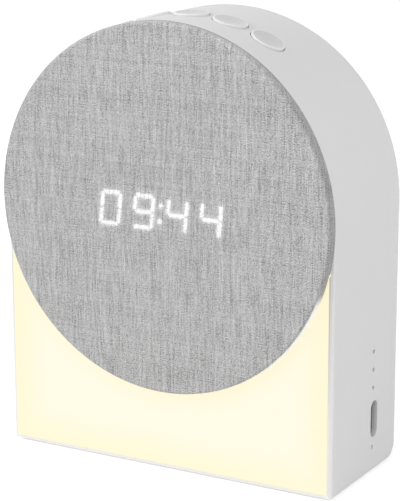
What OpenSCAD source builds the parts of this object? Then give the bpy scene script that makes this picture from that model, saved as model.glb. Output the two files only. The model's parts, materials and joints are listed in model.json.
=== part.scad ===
/* [Housing] */
// Width across the arch
body_w = 90; // [86:1:110]
// Height from the underside to the top of the arch
body_h = 110; // [108:1:140]
// Depth from the front rim to the back
body_d = 43; // [42:1:60]
// Radius of the rounded back edge
back_r = 10; // [6:0.5:11]
// Radius of the two lower corners, seen from the front
corner_r = 1; // [0.5:0.1:2]
// Radius of the trim on the two lower back corners
trim_r = 4; // [3:0.5:5]
// Small round on the outer front edge
edge_r = 0.4; // [0.2:0.1:0.8]
// Wall thickness of the moulded housing
wall = 2; // [1.8:0.1:2.4]
// Width of the thin rim that shows around the front
rim_w = 1; // [0.9:0.1:1.5]
// Depth of the step that the front pieces sit on
rebate_d = 2; // [1.8:0.1:2.6]

/* [Grille disc] */
// How far the disc stands out of the front rim
disc_proud = 2.5; // [2:0.1:4]
// How far the disc edge lies inside the arch
disc_inset = 0.2; // [0.1:0.1:0.6]
// Thickness of the grille cloth
cloth_t = 0.4; // [0.3:0.05:0.6]
// Round on the front edge of the disc
disc_edge_r = 0.8; // [0.5:0.1:1.2]
// Width of the cloth turned under at the back
hem_w = 4; // [3:0.5:4.5]
// Width of one opening of the sound grille, across its flats
mesh_hole = 1.8; // [1.2:0.1:2.2]
// Distance between neighbouring openings
mesh_pitch = 2.8; // [2.6:0.1:4]
// Radius of the pegs that hold the disc
peg_r = 1.5; // [1.2:0.1:1.8]

/* [Lamp] */
// Thickness of the opal diffuser where it runs behind the disc
diffuser_t = 1.6; // [1.2:0.1:1.7]
// How far the diffuser stands out of the front rim
diffuser_proud = 0.6; // [0.3:0.1:1.2]
// How far the diffuser runs behind the disc
lamp_overlap = 2.3; // [2:0.1:3]
// Depth of the reflector tray
tray_d = 9; // [7:0.5:9]
// Wall thickness of the tray
tray_wall = 1.2; // [0.9:0.1:1.4]
// Number of lamp LEDs
lamp_leds_n = 8; // [4:1:9]
// Height of the LED row above the underside
lamp_led_z = 11; // [9:0.5:13]

/* [Display] */
// Height of a digit
digit_h = 8.6; // [7:0.1:9.2]
// Width of a digit
digit_w = 5.9; // [5:0.1:6.4]
// Distance between digit centres
digit_pitch = 9.3; // [8.6:0.1:10]
// Width of one lit segment
segment_w = 1.2; // [0.8:0.1:1.4]
// Lean of the digits, in degrees
slant = 5.5; // [0:0.5:10]
// How far the row lies below the centre of the disc
display_drop = 0.7; // [0:0.1:1.2]
// How far the row lies to the right of the centre of the disc
display_shift = 0.3; // [-0.5:0.1:0.8]

/* [Buttons] */
// Radius of a round button
button_r = 4.3; // [3.6:0.1:4.4]
// Room between neighbouring buttons
button_room = 2.05; // [1.9:0.05:2.35]
// How far a button stands out of the arch
button_proud = 0.5; // [0.4:0.1:1]
// Depth of the hollow in the top of a button
button_dish = 0.35; // [0.1:0.05:0.4]
// Width of the lip around that hollow
button_lip = 0.5; // [0.4:0.1:1]
// Round on the top edge of a button
button_edge_r = 0.3; // [0.2:0.05:0.4]
// Distance of the button row behind the front rim
button_y = 13; // [12.5:0.5:18]
// Travel of a button
button_travel = 0.35; // [0.2:0.05:0.5]
// Gap around a button in its opening
button_gap = 0.2; // [0.15:0.05:0.3]

/* [Ports] */
// Distance of the indicators and the pinhole behind the front rim
port_y = 22.2; // [21.8:0.2:22.6]
// Distance of the charging slot behind the front rim
slot_y = 23; // [22.8:0.2:24]
// Long side of the charging slot
slot_l = 9.3; // [9.1:0.1:9.8]
// Short side of the charging slot
slot_w = 3.8; // [3.5:0.1:4.4]
// Height of the slot centre above the underside
slot_z = 13.3; // [12:0.1:14]
// Height of the middle indicator above the underside
indicator_z = 26; // [25:0.1:28]
// Distance between indicators
indicator_pitch = 4.55; // [4:0.05:5]
// Radius of an indicator hole
indicator_r = 0.55; // [0.4:0.05:0.8]
// Height of the reset pinhole above the underside
reset_z = 6.3; // [6:0.1:6.6]
// Radius of the reset pinhole
reset_r = 0.5; // [0.4:0.05:0.7]
// Travel of the reset plunger
reset_travel = 0.25; // [0.15:0.05:0.4]

/* [Speaker] */
// Radius of the speaker frame
speaker_r = 16; // [15:0.5:16.5]
// Distance of the speaker below the centre of the disc
speaker_drop = 24; // [24:0.5:25]
// Depth of the speaker behind its flange
speaker_d = 12; // [11:0.5:14]
// Radius of the voice coil former
coil_r = 4; // [3.5:0.1:4.5]

/* [Boards and battery] */
// Thickness of the circuit boards
board_t = 1.2; // [1:0.1:1.6]
// Room between the left wall and the main board
main_room = 12.5; // [9:0.5:18]
// Height of the main board
main_h = 44; // [40:1:46]
// Room on each side between the battery's frame and the pillars of the main board
cell_room = 2; // [1:0.5:6]
// Height of the battery cell
cell_h = 26; // [20:1:28]
// Thickness of the battery cell
cell_t = 7; // [5:0.5:8]

/* [Feet] */
// Radius of a rubber foot
foot_r = 4.5; // [3:0.5:6]
// How far a foot stands out of the underside
foot_proud = 0.5; // [0.3:0.1:1]
// Depth of the pocket that holds a foot
foot_pocket = 1; // [0.6:0.1:1.2]
// Distance of a foot from the centre, left and right
foot_x = 34; // [28:1:36]

/* [Hidden] */
$fn = 64;
// Overrun of every cut
over = 1;
// Gap between pieces that are fitted together
fit = 0.1;
// Gap around a part that slides in a hole
run_fit = 0.05;
// Gap between a piece that moves and what it must not touch
clear = 0.3;

// The rim plane is the datum of all depths, and the part is centred on its whole depth
total_d = body_d + disc_proud;
rim_y = disc_proud - total_d/2;
arch_r = body_w/2;
arch_z = foot_proud + body_h - arch_r;
base_z = foot_proud;
inner_r = arch_r - wall;
back_wall_d = body_d - wall;
disc_r = arch_r - disc_inset;

// Screws: one small self-tapping size throughout
screw_r = 1;
screw_head_r = 1.9;
screw_head_t = 1.2;
screw_slot_w = 0.5;
screw_slot_l = 2.4;
screw_slot_t = 0.6;
boss_r = 2.5;

// Places of the chassis screws, and of the pillars behind them, as angles from the top of the arch
chassis_angles = [-112, -56, 56, 112];
pillar_ring_r = inner_r - boss_r - wall/2 + fit;
chassis_screw_l = 9;
rib_t = 1.2;

// The trim of a lower back corner starts at the corner's small round, a little ahead of the back
// edge's round, and its axis leans inwards
trim_lean = 23;
trim_ahead = 1;
trim_y = body_d - back_r - trim_ahead;
trim_in = (trim_r + (sqrt(2) - 1)*corner_r)/sqrt(2);

// Front pieces that share the step of the rebate
seat_gap = 0.1;
lamp_arc_r = disc_r - lamp_overlap;
// The lamp area ends just behind the place where the disc edge meets the rim
lamp_tip_z = arch_z - sqrt(disc_r*disc_r - (arch_r - rim_w)*(arch_r - rim_w)) + lamp_overlap/2;
chassis_t = rebate_d;
chassis_r = arch_r - rim_w - seat_gap;
chassis_lower_r = lamp_arc_r - seat_gap*2;

// Disc
grille_r = disc_r - cloth_t;
grille_edge_r = disc_edge_r - cloth_t/2;
hem_r = disc_r - hem_w;
hem_fit = fit/2;
grille_t = disc_proud - cloth_t;
peg_l = chassis_t - fit;
peg_ring_r = hem_r - peg_r*2;
peg_angles = [-75, -32, 32, 75];
mesh_field_r = speaker_r - mesh_pitch;

// Lamp tray, its board and its lugs
tray_front = rebate_d;
tray_inset = wall + fit*2;
lug_r = 2.8;
lug_t = 1.5;
lug_ring_r = chassis_lower_r - lug_r + fit;
lug_angles = [-152, -127, 127, 152];
led_w = 2.8;
led_l = 3.5;
led_t = 0.7;
led_window = 0.4;
lamp_board_side = 7;
lamp_board_w = body_w - 2*(wall + lamp_board_side);
lamp_board_h = 8;
lamp_board_t = 1;
lamp_led_pitch = (lamp_board_w - 2*boss_r - led_l*2)/(lamp_leds_n - 1);
lamp_board_z = base_z + lamp_led_z;

// Display block: mask with a cell for each segment, and the board behind it
display_x = display_shift;
display_z = arch_z - display_drop;
mask_wall = 1.2;
mask_w = 3*digit_pitch + digit_w + digit_h*tan(slant) + 2*mask_wall;
mask_h = digit_h + 2*mask_wall;
film_t = 0.2;
mask_front = -grille_t + film_t;
mask_back = 5;
segment_gap = 0.25;
colon_r = 0.75;
colon_rise_share = 0.22;
display_ear = 5;
display_board_edge = 1;
display_board_w = mask_w + 4*display_ear;
display_board_h = mask_h + 2*display_board_edge;
display_hole_x = mask_w/2 + display_ear;
display_led_w = 0.8;
display_led_l = 1.6;
display_led_t = 0.6;

// Speaker, measured from the front face of its flange; radii as shares of the frame's, the
// depth of the cone as a share of the basket's, and how far the ears stand out as a share of theirs
basket_share = 0.68;
plate_share = 0.64;
magnet_share = 0.6;
cone_share = 0.68;
ear_share = 0.8;
gasket_t = 0.5;
speaker_z = arch_z - speaker_drop;
speaker_front = rebate_d + gasket_t;
speaker_angles = [45, 135, 225, 315];
ear_r = 2.4;
ear_ring_r = speaker_r + ear_share*ear_r;
flange_t = 1;
flange_w = 2.8;
basket_wall = 0.9;
basket_end = speaker_d/2;
basket_back_r = basket_share*speaker_r;
yoke_t = 1.4;
top_plate_t = 1.6;
magnet_t = speaker_d - basket_end - top_plate_t - yoke_t;
plate_r = plate_share*speaker_r;
magnet_r = magnet_share*speaker_r;
former_t = 0.15;
coil_t = 0.3;
coil_gap = 0.25;
pole_r = coil_r - former_t - coil_gap;
gap_r = coil_r + coil_t + coil_gap;
cone_travel = 0.5;
coil_end = basket_end + top_plate_t + 2*cone_travel;
cone_t = 0.4;
cone_front = 0.4;
roll_r = 1.1;
cone_r = speaker_r - flange_w - 2*roll_r;
cone_end = cone_share*basket_end;
roll_t = 0.2;
spider_t = 0.3;
spider_wave = 0.4;
spider_front = basket_end - 2*cone_travel;
spider_waves_n = 4;

// Buttons, measured from the centre of the arch
button_pitch = 2*asin((button_r + button_room/2)/arch_r);
button_angles = [for (i = [-2 : 2]) i*button_pitch];
flange_over = 0.7;
button_flange_t = 0.9;
// Neighbouring flanges share the pitch, so their length follows it, measured a little below
// the top of the flange
flange_share = 1.5;
flange_l = 2*(inner_r - fit - flange_share*button_flange_t)*tan(button_pitch/2) - clear;
button_flange_r = button_r + flange_over;
button_top = arch_r + button_proud;
dish_half = button_r - button_lip;
dish_r = (dish_half*dish_half + button_dish*button_dish)/(2*button_dish);
flange_top = sqrt(inner_r*inner_r - flange_l*flange_l/4) - fit;
flange_low = flange_top - button_flange_t;
stem_r = 1.2;
carrier_top = flange_low - button_travel - clear;
carrier_t = 1.8;
rail_t = 1.2;
carrier_w = 2*(button_flange_r + rail_t + 2*clear);
carrier_low = carrier_top - carrier_t;
stem_out = 1;
stem_low = carrier_low - stem_out;
plunger_r = 1;
plunger_in = 0.8;
plunger_proud = button_travel + clear;
switch_l = 4.5;
switch_h = 2;
switch_top = stem_low - plunger_proud;
switch_low = switch_top - switch_h;
plunger_low = switch_top - plunger_in;
switch_bore_low = plunger_low - button_travel - clear;
flex_t = 0.3;
flex_w = 7;
flex_low = switch_low - flex_t;
backer_t = 1.8;
backer_low = flex_low - backer_t;
backer_boss_r = 1.9;
// Places along the last flat, measured from the axis of the last button
flex_end = switch_l/2 + clear;
backer_hole = flex_end + backer_boss_r + clear;
backer_end = backer_hole + backer_boss_r + clear;
last_angle = 2*button_pitch;
end_angle = last_angle + atan((backer_end + clear)/backer_low);
end_wall_angle = 2;
carrier_angle = end_angle + end_wall_angle;
tab_drop = 1.4;
tab_l = boss_r + 4*clear;
tab_ring_r = carrier_low - tab_drop;
tab_angle = carrier_angle + asin((boss_r + 2*clear)/tab_ring_r);
tab_t = 2;
tab_front = button_y - tab_t/2;
carrier_screw_l = 7;

// Ports on the right-hand side, and what lies behind them on the main board
shell_l = 8.9;
shell_w = 3.2;
shell_t = 0.3;
shell_len = 7.5;
shell_back = 1;
tongue_l = 6.7;
tongue_w = 0.7;
tongue_len = 4.6;
main_front = slot_y + shell_w/2;
main_edge = 1.5;
main_w = 2*inner_r - main_edge - main_room;
main_lift = 1;
main_hole_in = 4;
main_right = inner_r - main_edge;
main_x = main_right - main_w/2;
main_z = base_z + wall + main_lift + main_h/2;
main_holes_x = [main_right - main_w + main_hole_in, main_right - 2*main_hole_in];
main_holes_z = [main_z - main_h/2 + main_hole_in, main_z + main_h/2 - main_hole_in];
main_screw_l = 6;
pipe_back = 0.4;
pipe_bar_t = 1.4;
pipe_bar_w = 3;
side_led_l = 1.4;
side_led_w = 1.6;
side_led_h = 2.2;
reset_body = 4;
reset_body_l = 3.5;
reset_proud = 0.7;
reset_plunger_r = 0.9;
reset_plunger_l = 1.6;
reset_face = main_right - fit;

// On the front of the main board: chips as shares of the board (place x and z, width, height)
// and of its thickness, two capacitors, and five lead connectors
chip_shares = [
    [-0.22, 0.12, 0.14, 0.23, 0.9], [-0.02, 0.2, 0.08, 0.13, 0.8], [-0.05, -0.2, 0.1, 0.17, 1.4],
    [-0.25, -0.22, 0.07, 0.12, 0.8], [0.12, 0.16, 0.1, 0.17, 2.6], [0.3, 0.1, 0.06, 0.1, 0.8]
];
can_share = [0.14, -0.24];
can_pitch = 6.5;
connector_pitch = 10;
can_r = 2.5;
can_h = 5.4;
connector_l = 8;
connector_w = 4;
connector_h = 4.5;

// Battery cell on the back wall, between low ribs
cell_x = (main_holes_x[0] + main_holes_x[1])/2;
cell_z = main_z;
cell_rib_h = 4;
cell_gap = 0.3;
cell_w = main_holes_x[1] - main_holes_x[0] - 2*(boss_r + rib_t + cell_gap + cell_room);
cell_edge_r = 2;

// Feet
foot_front = 7.5;
foot_back = 1.5;
foot_y = [foot_front, body_d - back_r - foot_r - foot_back];

// A front-view outline made a slab that starts at a depth behind the rim plane
module slab(from, thick) {
    translate([0, rim_y + from + thick, 0]) rotate([90, 0, 0]) linear_extrude(thick) children();
}

// A turned piece whose axis runs backwards from a point of the front view
module turned(x, z, from) {
    translate([x, rim_y + from, z]) rotate([-90, 0, 0]) children();
}

// Children set on the arch at an angle from the top, with their Z pointing outwards
module on_arch(angle) {
    translate([0, rim_y + button_y, arch_z]) rotate([0, angle, 0]) children();
}

// Children of the front view set on a circle about the centre of the arch
module on_ring(radius, angle) {
    translate([radius*sin(angle), arch_z + radius*cos(angle)]) children();
}

// What a convex corner loses when it is rounded
module corner_cut(r) {
    difference() {
        square(r + over);
        circle(r);
    }
}

// Half of a section from the middle outwards, with its front and back edges rounded
module section(half_w, depth, r_back, r_front) {
    difference() {
        square([half_w, depth]);
        if (r_back > 0) translate([half_w - r_back, depth - r_back]) corner_cut(r_back);
        if (r_front > 0) translate([half_w - r_front, r_front]) mirror([0, 1]) corner_cut(r_front);
    }
}

// Arch outline in the front view, drawn in by an inset
module arch_outline(inset, r) {
    half_w = arch_r - inset;
    low = base_z + inset;
    difference() {
        union() {
            translate([0, arch_z]) circle(half_w, $fn = 128);
            translate([-half_w, low]) square([2*half_w, arch_z - low]);
        }
        if (r > 0) for (side = [0, 1]) mirror([side, 0]) {
            translate([half_w - r, low + r]) mirror([0, 1]) corner_cut(r);
        }
    }
}

// The arch as a solid with its back edge rounded all the way round
module arch_block(inset, depth, r_back, r_front, r_corner) {
    half_w = arch_r - inset;
    low = base_z + inset;
    intersection() {
        union() {
            turned(0, arch_z, 0) rotate_extrude($fn = 128) section(half_w, depth, r_back, r_front);
            translate([0, rim_y, low]) linear_extrude(arch_z - low) for (side = [0, 1]) {
                mirror([side, 0]) section(half_w, depth, r_back, r_front);
            }
        }
        // Side view: only the two lower edges are rounded
        translate([-body_w, rim_y, 0]) rotate([90, 0, 90]) linear_extrude(2*body_w) {
            translate([0, 2*body_h]) mirror([0, 1]) rotate(90) mirror([0, 1])
                section(2*body_h - low, depth, r_back, r_front);
        }
        slab(0, depth) arch_outline(inset, r_corner);
    }
}

// What rounds off the two lower back corners, where the rounds of three edges meet
module corner_trims() {
    for (side = [0, 1]) mirror([side, 0, 0]) turned(arch_r - trim_in, base_z + trim_in, trim_y) {
        rotate(trim_lean, [1, -1, 0]) translate([0, 0, -trim_r]) {
            linear_extrude(2*back_r + trim_r) corner_cut(trim_r);
        }
    }
}

// Outline with round ends, long side along X
module stadium(l, w) {
    square([l - w, w], center = true);
    for (side = [-1, 1]) translate([side*(l - w)/2, 0]) circle(w/2, $fn = 48);
}

// Screw with its head at the back, entering forwards; its seat lies at the origin
module screw(l) {
    difference() {
        union() {
            cylinder(h = screw_head_t, r = screw_head_r);
            translate([0, 0, -l]) cylinder(h = l, r = screw_r);
        }
        for (turn = [0, 90]) rotate(turn) translate([0, 0, screw_head_t]) {
            cube([screw_slot_l, screw_slot_w, 2*screw_slot_t], center = true);
        }
    }
}

// Round pillar of the housing, from a depth to the back wall
module pillar(x, z, from) {
    turned(x, z, from) cylinder(h = body_d - from, r = boss_r);
}

// Hole in a pillar for a screw of length l
module pilot(x, z, from, l) {
    turned(x, z, from - over) cylinder(h = l + over + screw_r, r = screw_r + run_fit);
}

// Rib that ties a pillar on the ring to the wall, pointing outwards or sideways
module pillar_rib(ring, angle, rib_angle, from) {
    slab(from, body_d - from) on_ring(ring, angle) rotate(-rib_angle) {
        translate([-rib_t/2, 0]) square([rib_t, arch_r - ring + rib_t]);
    }
}

module housing_inside() {
    for (angle = chassis_angles) {
        low = abs(angle) > 90;
        pillar(pillar_ring_r*sin(angle), arch_z + pillar_ring_r*cos(angle), rebate_d);
        // The lower pair has its ribs behind the lamp tray, straight across to the side walls
        pillar_rib(pillar_ring_r, angle, low ? sign(angle)*90 : angle,
            low ? tray_front + tray_d + lamp_board_t + over : rebate_d);
    }
    for (side = [-1, 1]) {
        pillar(side*tab_ring_r*sin(tab_angle), arch_z + tab_ring_r*cos(tab_angle), tab_front + tab_t);
        pillar_rib(tab_ring_r, side*tab_angle, side*tab_angle, tab_front + tab_t);
    }
    for (x = main_holes_x, z = main_holes_z) pillar(x, z, main_front + board_t);
    slab(back_wall_d - cell_rib_h, cell_rib_h + wall) translate([cell_x, cell_z]) difference() {
        square([cell_w + 2*(cell_gap + rib_t), cell_h + 2*(cell_gap + rib_t)], center = true);
        square([cell_w + 2*cell_gap, cell_h + 2*cell_gap], center = true);
        square([cell_w/2, cell_h + 4*rib_t + over], center = true);
    }
}

module housing() color("white") difference() {
    union() {
        difference() {
            arch_block(0, body_d, back_r, edge_r, corner_r);
            arch_block(wall, back_wall_d, back_r - wall, 0, 0);
            translate([0, -over, 0]) slab(0, over + rebate_d) arch_outline(rim_w, 0);
        }
        intersection() {
            arch_block(wall/2, body_d - wall/2, back_r - wall/2, 0, 0);
            housing_inside();
        }
    }
    for (angle = chassis_angles) {
        pilot(pillar_ring_r*sin(angle), arch_z + pillar_ring_r*cos(angle), rebate_d, chassis_screw_l);
    }
    for (side = [-1, 1]) {
        pilot(side*tab_ring_r*sin(tab_angle), arch_z + tab_ring_r*cos(tab_angle),
            tab_front + tab_t, carrier_screw_l);
    }
    for (x = main_holes_x, z = main_holes_z) pilot(x, z, main_front + board_t, main_screw_l);
    for (angle = button_angles) on_arch(angle) translate([0, 0, flange_top - over]) {
        cylinder(h = button_top - flange_top + 2*over, r = button_r + button_gap);
    }
    port_cuts();
    corner_trims();
    for (x = [-foot_x, foot_x], y = foot_y) translate([x, rim_y + y, base_z - over]) {
        cylinder(h = over + foot_pocket, r = foot_r + fit);
    }
}

// Slot, indicator holes and pinhole through the right-hand wall
module port_cuts() {
    translate([inner_r - over, rim_y + slot_y, base_z + slot_z]) {
        rotate([90, 0, 90]) linear_extrude(wall + 2*over) rotate(90) stadium(slot_l, slot_w);
    }
    translate([inner_r - over, rim_y + port_y, 0]) {
        for (i = [-1 : 1]) translate([0, 0, base_z + indicator_z + i*indicator_pitch]) {
            rotate([0, 90, 0]) cylinder(h = wall + 2*over, r = indicator_r, $fn = 24);
        }
        translate([0, 0, base_z + reset_z]) rotate([0, 90, 0]) {
            cylinder(h = wall + 2*over, r = reset_r, $fn = 24);
        }
    }
}

module grille_disc() color("dimgray") difference() {
    union() {
        turned(0, arch_z, -grille_t) rotate_extrude($fn = 128) difference() {
            section(grille_r, grille_t, 0, grille_edge_r);
            // Step at the back for the hem of the cloth
            translate([hem_r - hem_fit, grille_t - cloth_t]) square([hem_w + over, cloth_t + over]);
        }
        for (angle = peg_angles) {
            turned(peg_ring_r*sin(angle), arch_z + peg_ring_r*cos(angle), -fit) {
                cylinder(h = peg_l + fit, r = peg_r);
            }
        }
    }
    slab(-disc_proud, disc_proud + over) {
        translate([display_x, display_z]) square([mask_w + 2*fit, mask_h + 2*fit], center = true);
    }
    slab(-disc_proud, disc_proud + over) translate([0, speaker_z]) sound_mesh();
}

// Honeycomb of openings in front of the speaker
module sound_mesh() {
    rows = floor(mesh_field_r/(mesh_pitch*sin(60)));
    cols = ceil(mesh_field_r/mesh_pitch);
    top = display_z - mask_h/2 - speaker_z - mesh_hole;
    for (row = [-rows : rows], col = [-cols : cols]) {
        x = (col + (row % 2 == 0 ? 0 : 1/2))*mesh_pitch;
        z = row*mesh_pitch*sin(60);
        if (x*x + z*z <= mesh_field_r*mesh_field_r && z < top) {
            translate([x, z]) rotate(30) circle(mesh_hole/2/cos(30), $fn = 6);
        }
    }
}

module grille_cloth() color("silver") turned(0, arch_z, -disc_proud) rotate_extrude($fn = 128) {
    difference() {
        section(disc_r, disc_proud, 0, disc_edge_r);
        translate([0, cloth_t]) section(grille_r, disc_proud - 2*cloth_t, 0, grille_edge_r);
        translate([0, cloth_t]) square([hem_r, disc_proud]);
    }
}

module chassis_outline() {
    translate([0, arch_z]) circle(chassis_lower_r, $fn = 128);
    intersection() {
        translate([0, arch_z]) circle(chassis_r, $fn = 128);
        translate([-arch_r, lamp_tip_z + seat_gap]) square([body_w, body_w]);
    }
}

module front_chassis() color("whitesmoke") difference() {
    union() {
        slab(0, chassis_t) chassis_outline();
        // Pads under the speaker ears, and the bosses of the display board
        for (angle = speaker_angles) {
            turned(ear_ring_r*sin(angle), speaker_z + ear_ring_r*cos(angle), chassis_t - fit) {
                cylinder(h = gasket_t + fit, r = ear_r);
            }
        }
        for (side = [-1, 1]) {
            turned(display_x + side*display_hole_x, display_z, chassis_t - fit) {
                cylinder(h = mask_back - chassis_t + fit, r = boss_r);
            }
        }
        // Stiffening ribs: a fence round the display and two struts above it
        slab(chassis_t - fit, mask_back - chassis_t - fit) translate([display_x, display_z]) {
            difference() {
                square([mask_w + 2*(fit + rib_t), mask_h + 2*(fit + rib_t)], center = true);
                square([mask_w + 2*fit, mask_h + 2*fit], center = true);
            }
        }
        slab(chassis_t - fit, mask_back - chassis_t - fit) for (side = [-1, 1]) {
            translate([side*mask_w/4 - rib_t/2, display_z + mask_h/2 + rib_t]) {
                square([rib_t, arch_r - mask_h - 4*boss_r]);
            }
        }
    }
    slab(-over, chassis_t + 2*over) {
        translate([display_x, display_z]) square([mask_w + 2*fit, mask_h + 2*fit], center = true);
        translate([0, speaker_z]) circle(speaker_r - flange_w + roll_r/2);
    }
    for (angle = chassis_angles) {
        turned(pillar_ring_r*sin(angle), arch_z + pillar_ring_r*cos(angle), -over) {
            cylinder(h = chassis_t + 2*over, r = screw_r + fit);
            cylinder(h = over + screw_head_t + fit, r = screw_head_r + fit);
        }
    }
    for (angle = peg_angles) {
        turned(peg_ring_r*sin(angle), arch_z + peg_ring_r*cos(angle), -over) {
            cylinder(h = chassis_t + 2*over, r = peg_r + run_fit);
        }
    }
    for (angle = speaker_angles) {
        turned(ear_ring_r*sin(angle), speaker_z + ear_ring_r*cos(angle), 0) {
            translate([0, 0, seat_gap]) cylinder(h = chassis_t + gasket_t + over, r = screw_r + run_fit);
        }
    }
    for (side = [-1, 1]) {
        turned(display_x + side*display_hole_x, display_z, seat_gap) {
            cylinder(h = mask_back + over, r = screw_r + run_fit);
        }
    }
    for (angle = lug_angles) {
        turned(lug_ring_r*sin(angle), arch_z + lug_ring_r*cos(angle), seat_gap) {
            cylinder(h = chassis_t + over, r = screw_r + run_fit);
        }
    }
}

// Lamp area of the front view: the lower part of the arch less the round of the disc
module lamp_outline(inset, grow) {
    half_w = arch_r - inset;
    low = base_z + inset;
    difference() {
        translate([-half_w, low]) square([2*half_w, lamp_tip_z - grow - low]);
        translate([0, arch_z]) circle(lamp_arc_r + grow, $fn = 128);
    }
}

module lamp_diffuser() color("lightyellow") difference() {
    slab(-diffuser_proud, diffuser_proud + rebate_d) lamp_outline(rim_w + seat_gap, 0);
    // Thinner where it runs behind the disc
    turned(0, arch_z, -diffuser_proud - over) {
        cylinder(h = diffuser_proud + over + rebate_d - diffuser_t, r = disc_r + clear, $fn = 128);
    }
}

module lamp_reflector() color("white") difference() {
    union() {
        slab(tray_front, tray_d) lamp_outline(tray_inset, 0);
        // Lugs that lie on the back of the chassis
        slab(tray_front, lug_t) for (angle = lug_angles) {
            on_ring(lug_ring_r, angle) circle(lug_r);
            // The neck is a little narrower than the round, so its sides cross the round's edge
            on_ring(lug_ring_r, angle) rotate(-angle) translate([-lug_r + fit, 0]) {
                square([2*(lug_r - fit), lamp_arc_r + tray_wall/2 - lug_ring_r]);
            }
        }
    }
    slab(tray_front - over, tray_d + over - tray_wall) {
        lamp_outline(tray_inset + tray_wall, tray_wall);
    }
    for (i = [0 : lamp_leds_n - 1]) slab(tray_front, tray_d + over) {
        translate([(i - (lamp_leds_n - 1)/2)*lamp_led_pitch, lamp_board_z]) {
            square([led_l + 2*led_window, led_w + 2*led_window], center = true);
        }
    }
    for (side = [-1, 1]) {
        turned(side*(lamp_board_w/2 - boss_r), lamp_board_z, tray_front) {
            cylinder(h = tray_d + over, r = screw_r + run_fit);
        }
    }
    for (angle = lug_angles) {
        turned(lug_ring_r*sin(angle), arch_z + lug_ring_r*cos(angle), tray_front - over) {
            cylinder(h = lug_t + 2*over, r = screw_r + fit);
        }
    }
}

module lamp_board() color("whitesmoke") difference() {
    slab(tray_front + tray_d, lamp_board_t) translate([0, lamp_board_z]) {
        square([lamp_board_w, lamp_board_h], center = true);
    }
    for (side = [-1, 1]) {
        turned(side*(lamp_board_w/2 - boss_r), lamp_board_z, tray_front) {
            cylinder(h = tray_d + lamp_board_t + over, r = screw_r + fit);
        }
    }
}

module lamp_leds() color("khaki") for (i = [0 : lamp_leds_n - 1]) {
    slab(tray_front + tray_d - led_t, led_t) {
        translate([(i - (lamp_leds_n - 1)/2)*lamp_led_pitch, lamp_board_z]) {
            square([led_l, led_w], center = true);
        }
    }
}

// A point of the leaning digit
function lean(p) = [p[0] + p[1]*tan(slant), p[1]];

// Six-cornered segment about a point, lying or standing
module segment(at, l, standing) {
    a = l/2 - segment_gap;
    b = segment_w/2;
    lying = [[-a, 0], [b - a, b], [a - b, b], [a, 0], [a - b, -b], [b - a, -b]];
    polygon([for (p = lying) lean(at + (standing ? [p[1], p[0]] : p))]);
}

// All seven segments of one digit about its centre
module digit() {
    w = digit_w - segment_w;
    h = (digit_h - segment_w)/2;
    for (row = [-1 : 1]) segment([0, row*h], w, false);
    for (side = [-1, 1], row = [-1, 1]) segment([side*w/2, row*h/2], h, true);
}

module display_places() {
    for (i = [0 : 3]) translate([display_x + (i - 3/2)*digit_pitch, display_z]) children();
}

module colon_places() {
    for (side = [-1, 1]) {
        translate([display_x, display_z] + lean([0, side*digit_h*colon_rise_share])) children();
    }
}

module display_mask() color("black") difference() {
    slab(mask_front, mask_back - mask_front) translate([display_x, display_z]) {
        square([mask_w, mask_h], center = true);
    }
    slab(mask_front - over, mask_back - mask_front + 2*over) {
        display_places() digit();
        colon_places() circle(colon_r, $fn = 24);
    }
}

module display_film() color("gray") slab(mask_front - film_t, film_t) {
    translate([display_x, display_z]) square([mask_w, mask_h], center = true);
}

module display_board() color("darkgreen") difference() {
    slab(mask_back, board_t) translate([display_x, display_z]) {
        square([display_board_w, display_board_h], center = true);
    }
    for (side = [-1, 1]) {
        turned(display_x + side*display_hole_x, display_z, mask_back - over) {
            cylinder(h = board_t + 2*over, r = screw_r + fit);
        }
    }
}

// One chip LED behind each segment and each dot
module display_leds() color("lightyellow") slab(mask_back - display_led_t, display_led_t) {
    w = digit_w - segment_w;
    h = (digit_h - segment_w)/2;
    display_places() {
        for (row = [-1 : 1]) translate(lean([0, row*h])) {
            square([display_led_l, display_led_w], center = true);
        }
        for (side = [-1, 1], row = [-1, 1]) translate(lean([side*w/2, row*h/2])) {
            square([display_led_w, display_led_l], center = true);
        }
    }
    colon_places() square(display_led_w, center = true);
}

module speaker_at() {
    turned(0, speaker_z, speaker_front) children();
}

module speaker_gasket() color("black") speaker_at() translate([0, 0, -gasket_t]) difference() {
    cylinder(h = gasket_t, r = speaker_r - fit);
    translate([0, 0, -over]) cylinder(h = gasket_t + 2*over, r = speaker_r - flange_w + roll_r/2);
    for (angle = speaker_angles) rotate(angle) translate([0, ear_ring_r, -over]) {
        cylinder(h = gasket_t + 2*over, r = ear_r + fit);
    }
}

module speaker_basket() color("dimgray") speaker_at() difference() {
    union() {
        linear_extrude(flange_t) {
            circle(speaker_r);
            for (angle = speaker_angles) rotate(angle) {
                translate([0, ear_ring_r]) circle(ear_r);
                translate([-ear_r, 0]) square([2*ear_r, ear_ring_r]);
            }
        }
        rotate_extrude() polygon([
            [0, 0], [speaker_r - flange_w/2, 0], [speaker_r - flange_w/2, flange_t],
            [basket_back_r, basket_end], [0, basket_end]
        ]);
    }
    rotate_extrude() polygon([
        [0, -over], [speaker_r - flange_w, -over], [speaker_r - flange_w, flange_t],
        [basket_back_r - basket_wall, spider_front + spider_t], [gap_r, spider_front + spider_t],
        [gap_r, basket_end + over], [0, basket_end + over]
    ]);
    // Vent windows between the four legs
    for (turn = [0 : 3]) rotate(turn*90) {
        translate([-basket_back_r/2, 0, flange_t + basket_wall]) {
            cube([basket_back_r, speaker_r, spider_front - flange_t - 2*basket_wall]);
        }
    }
    for (angle = speaker_angles) rotate(angle) translate([0, ear_ring_r, -over]) {
        cylinder(h = flange_t + 2*over, r = screw_r + fit);
    }
}

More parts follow.
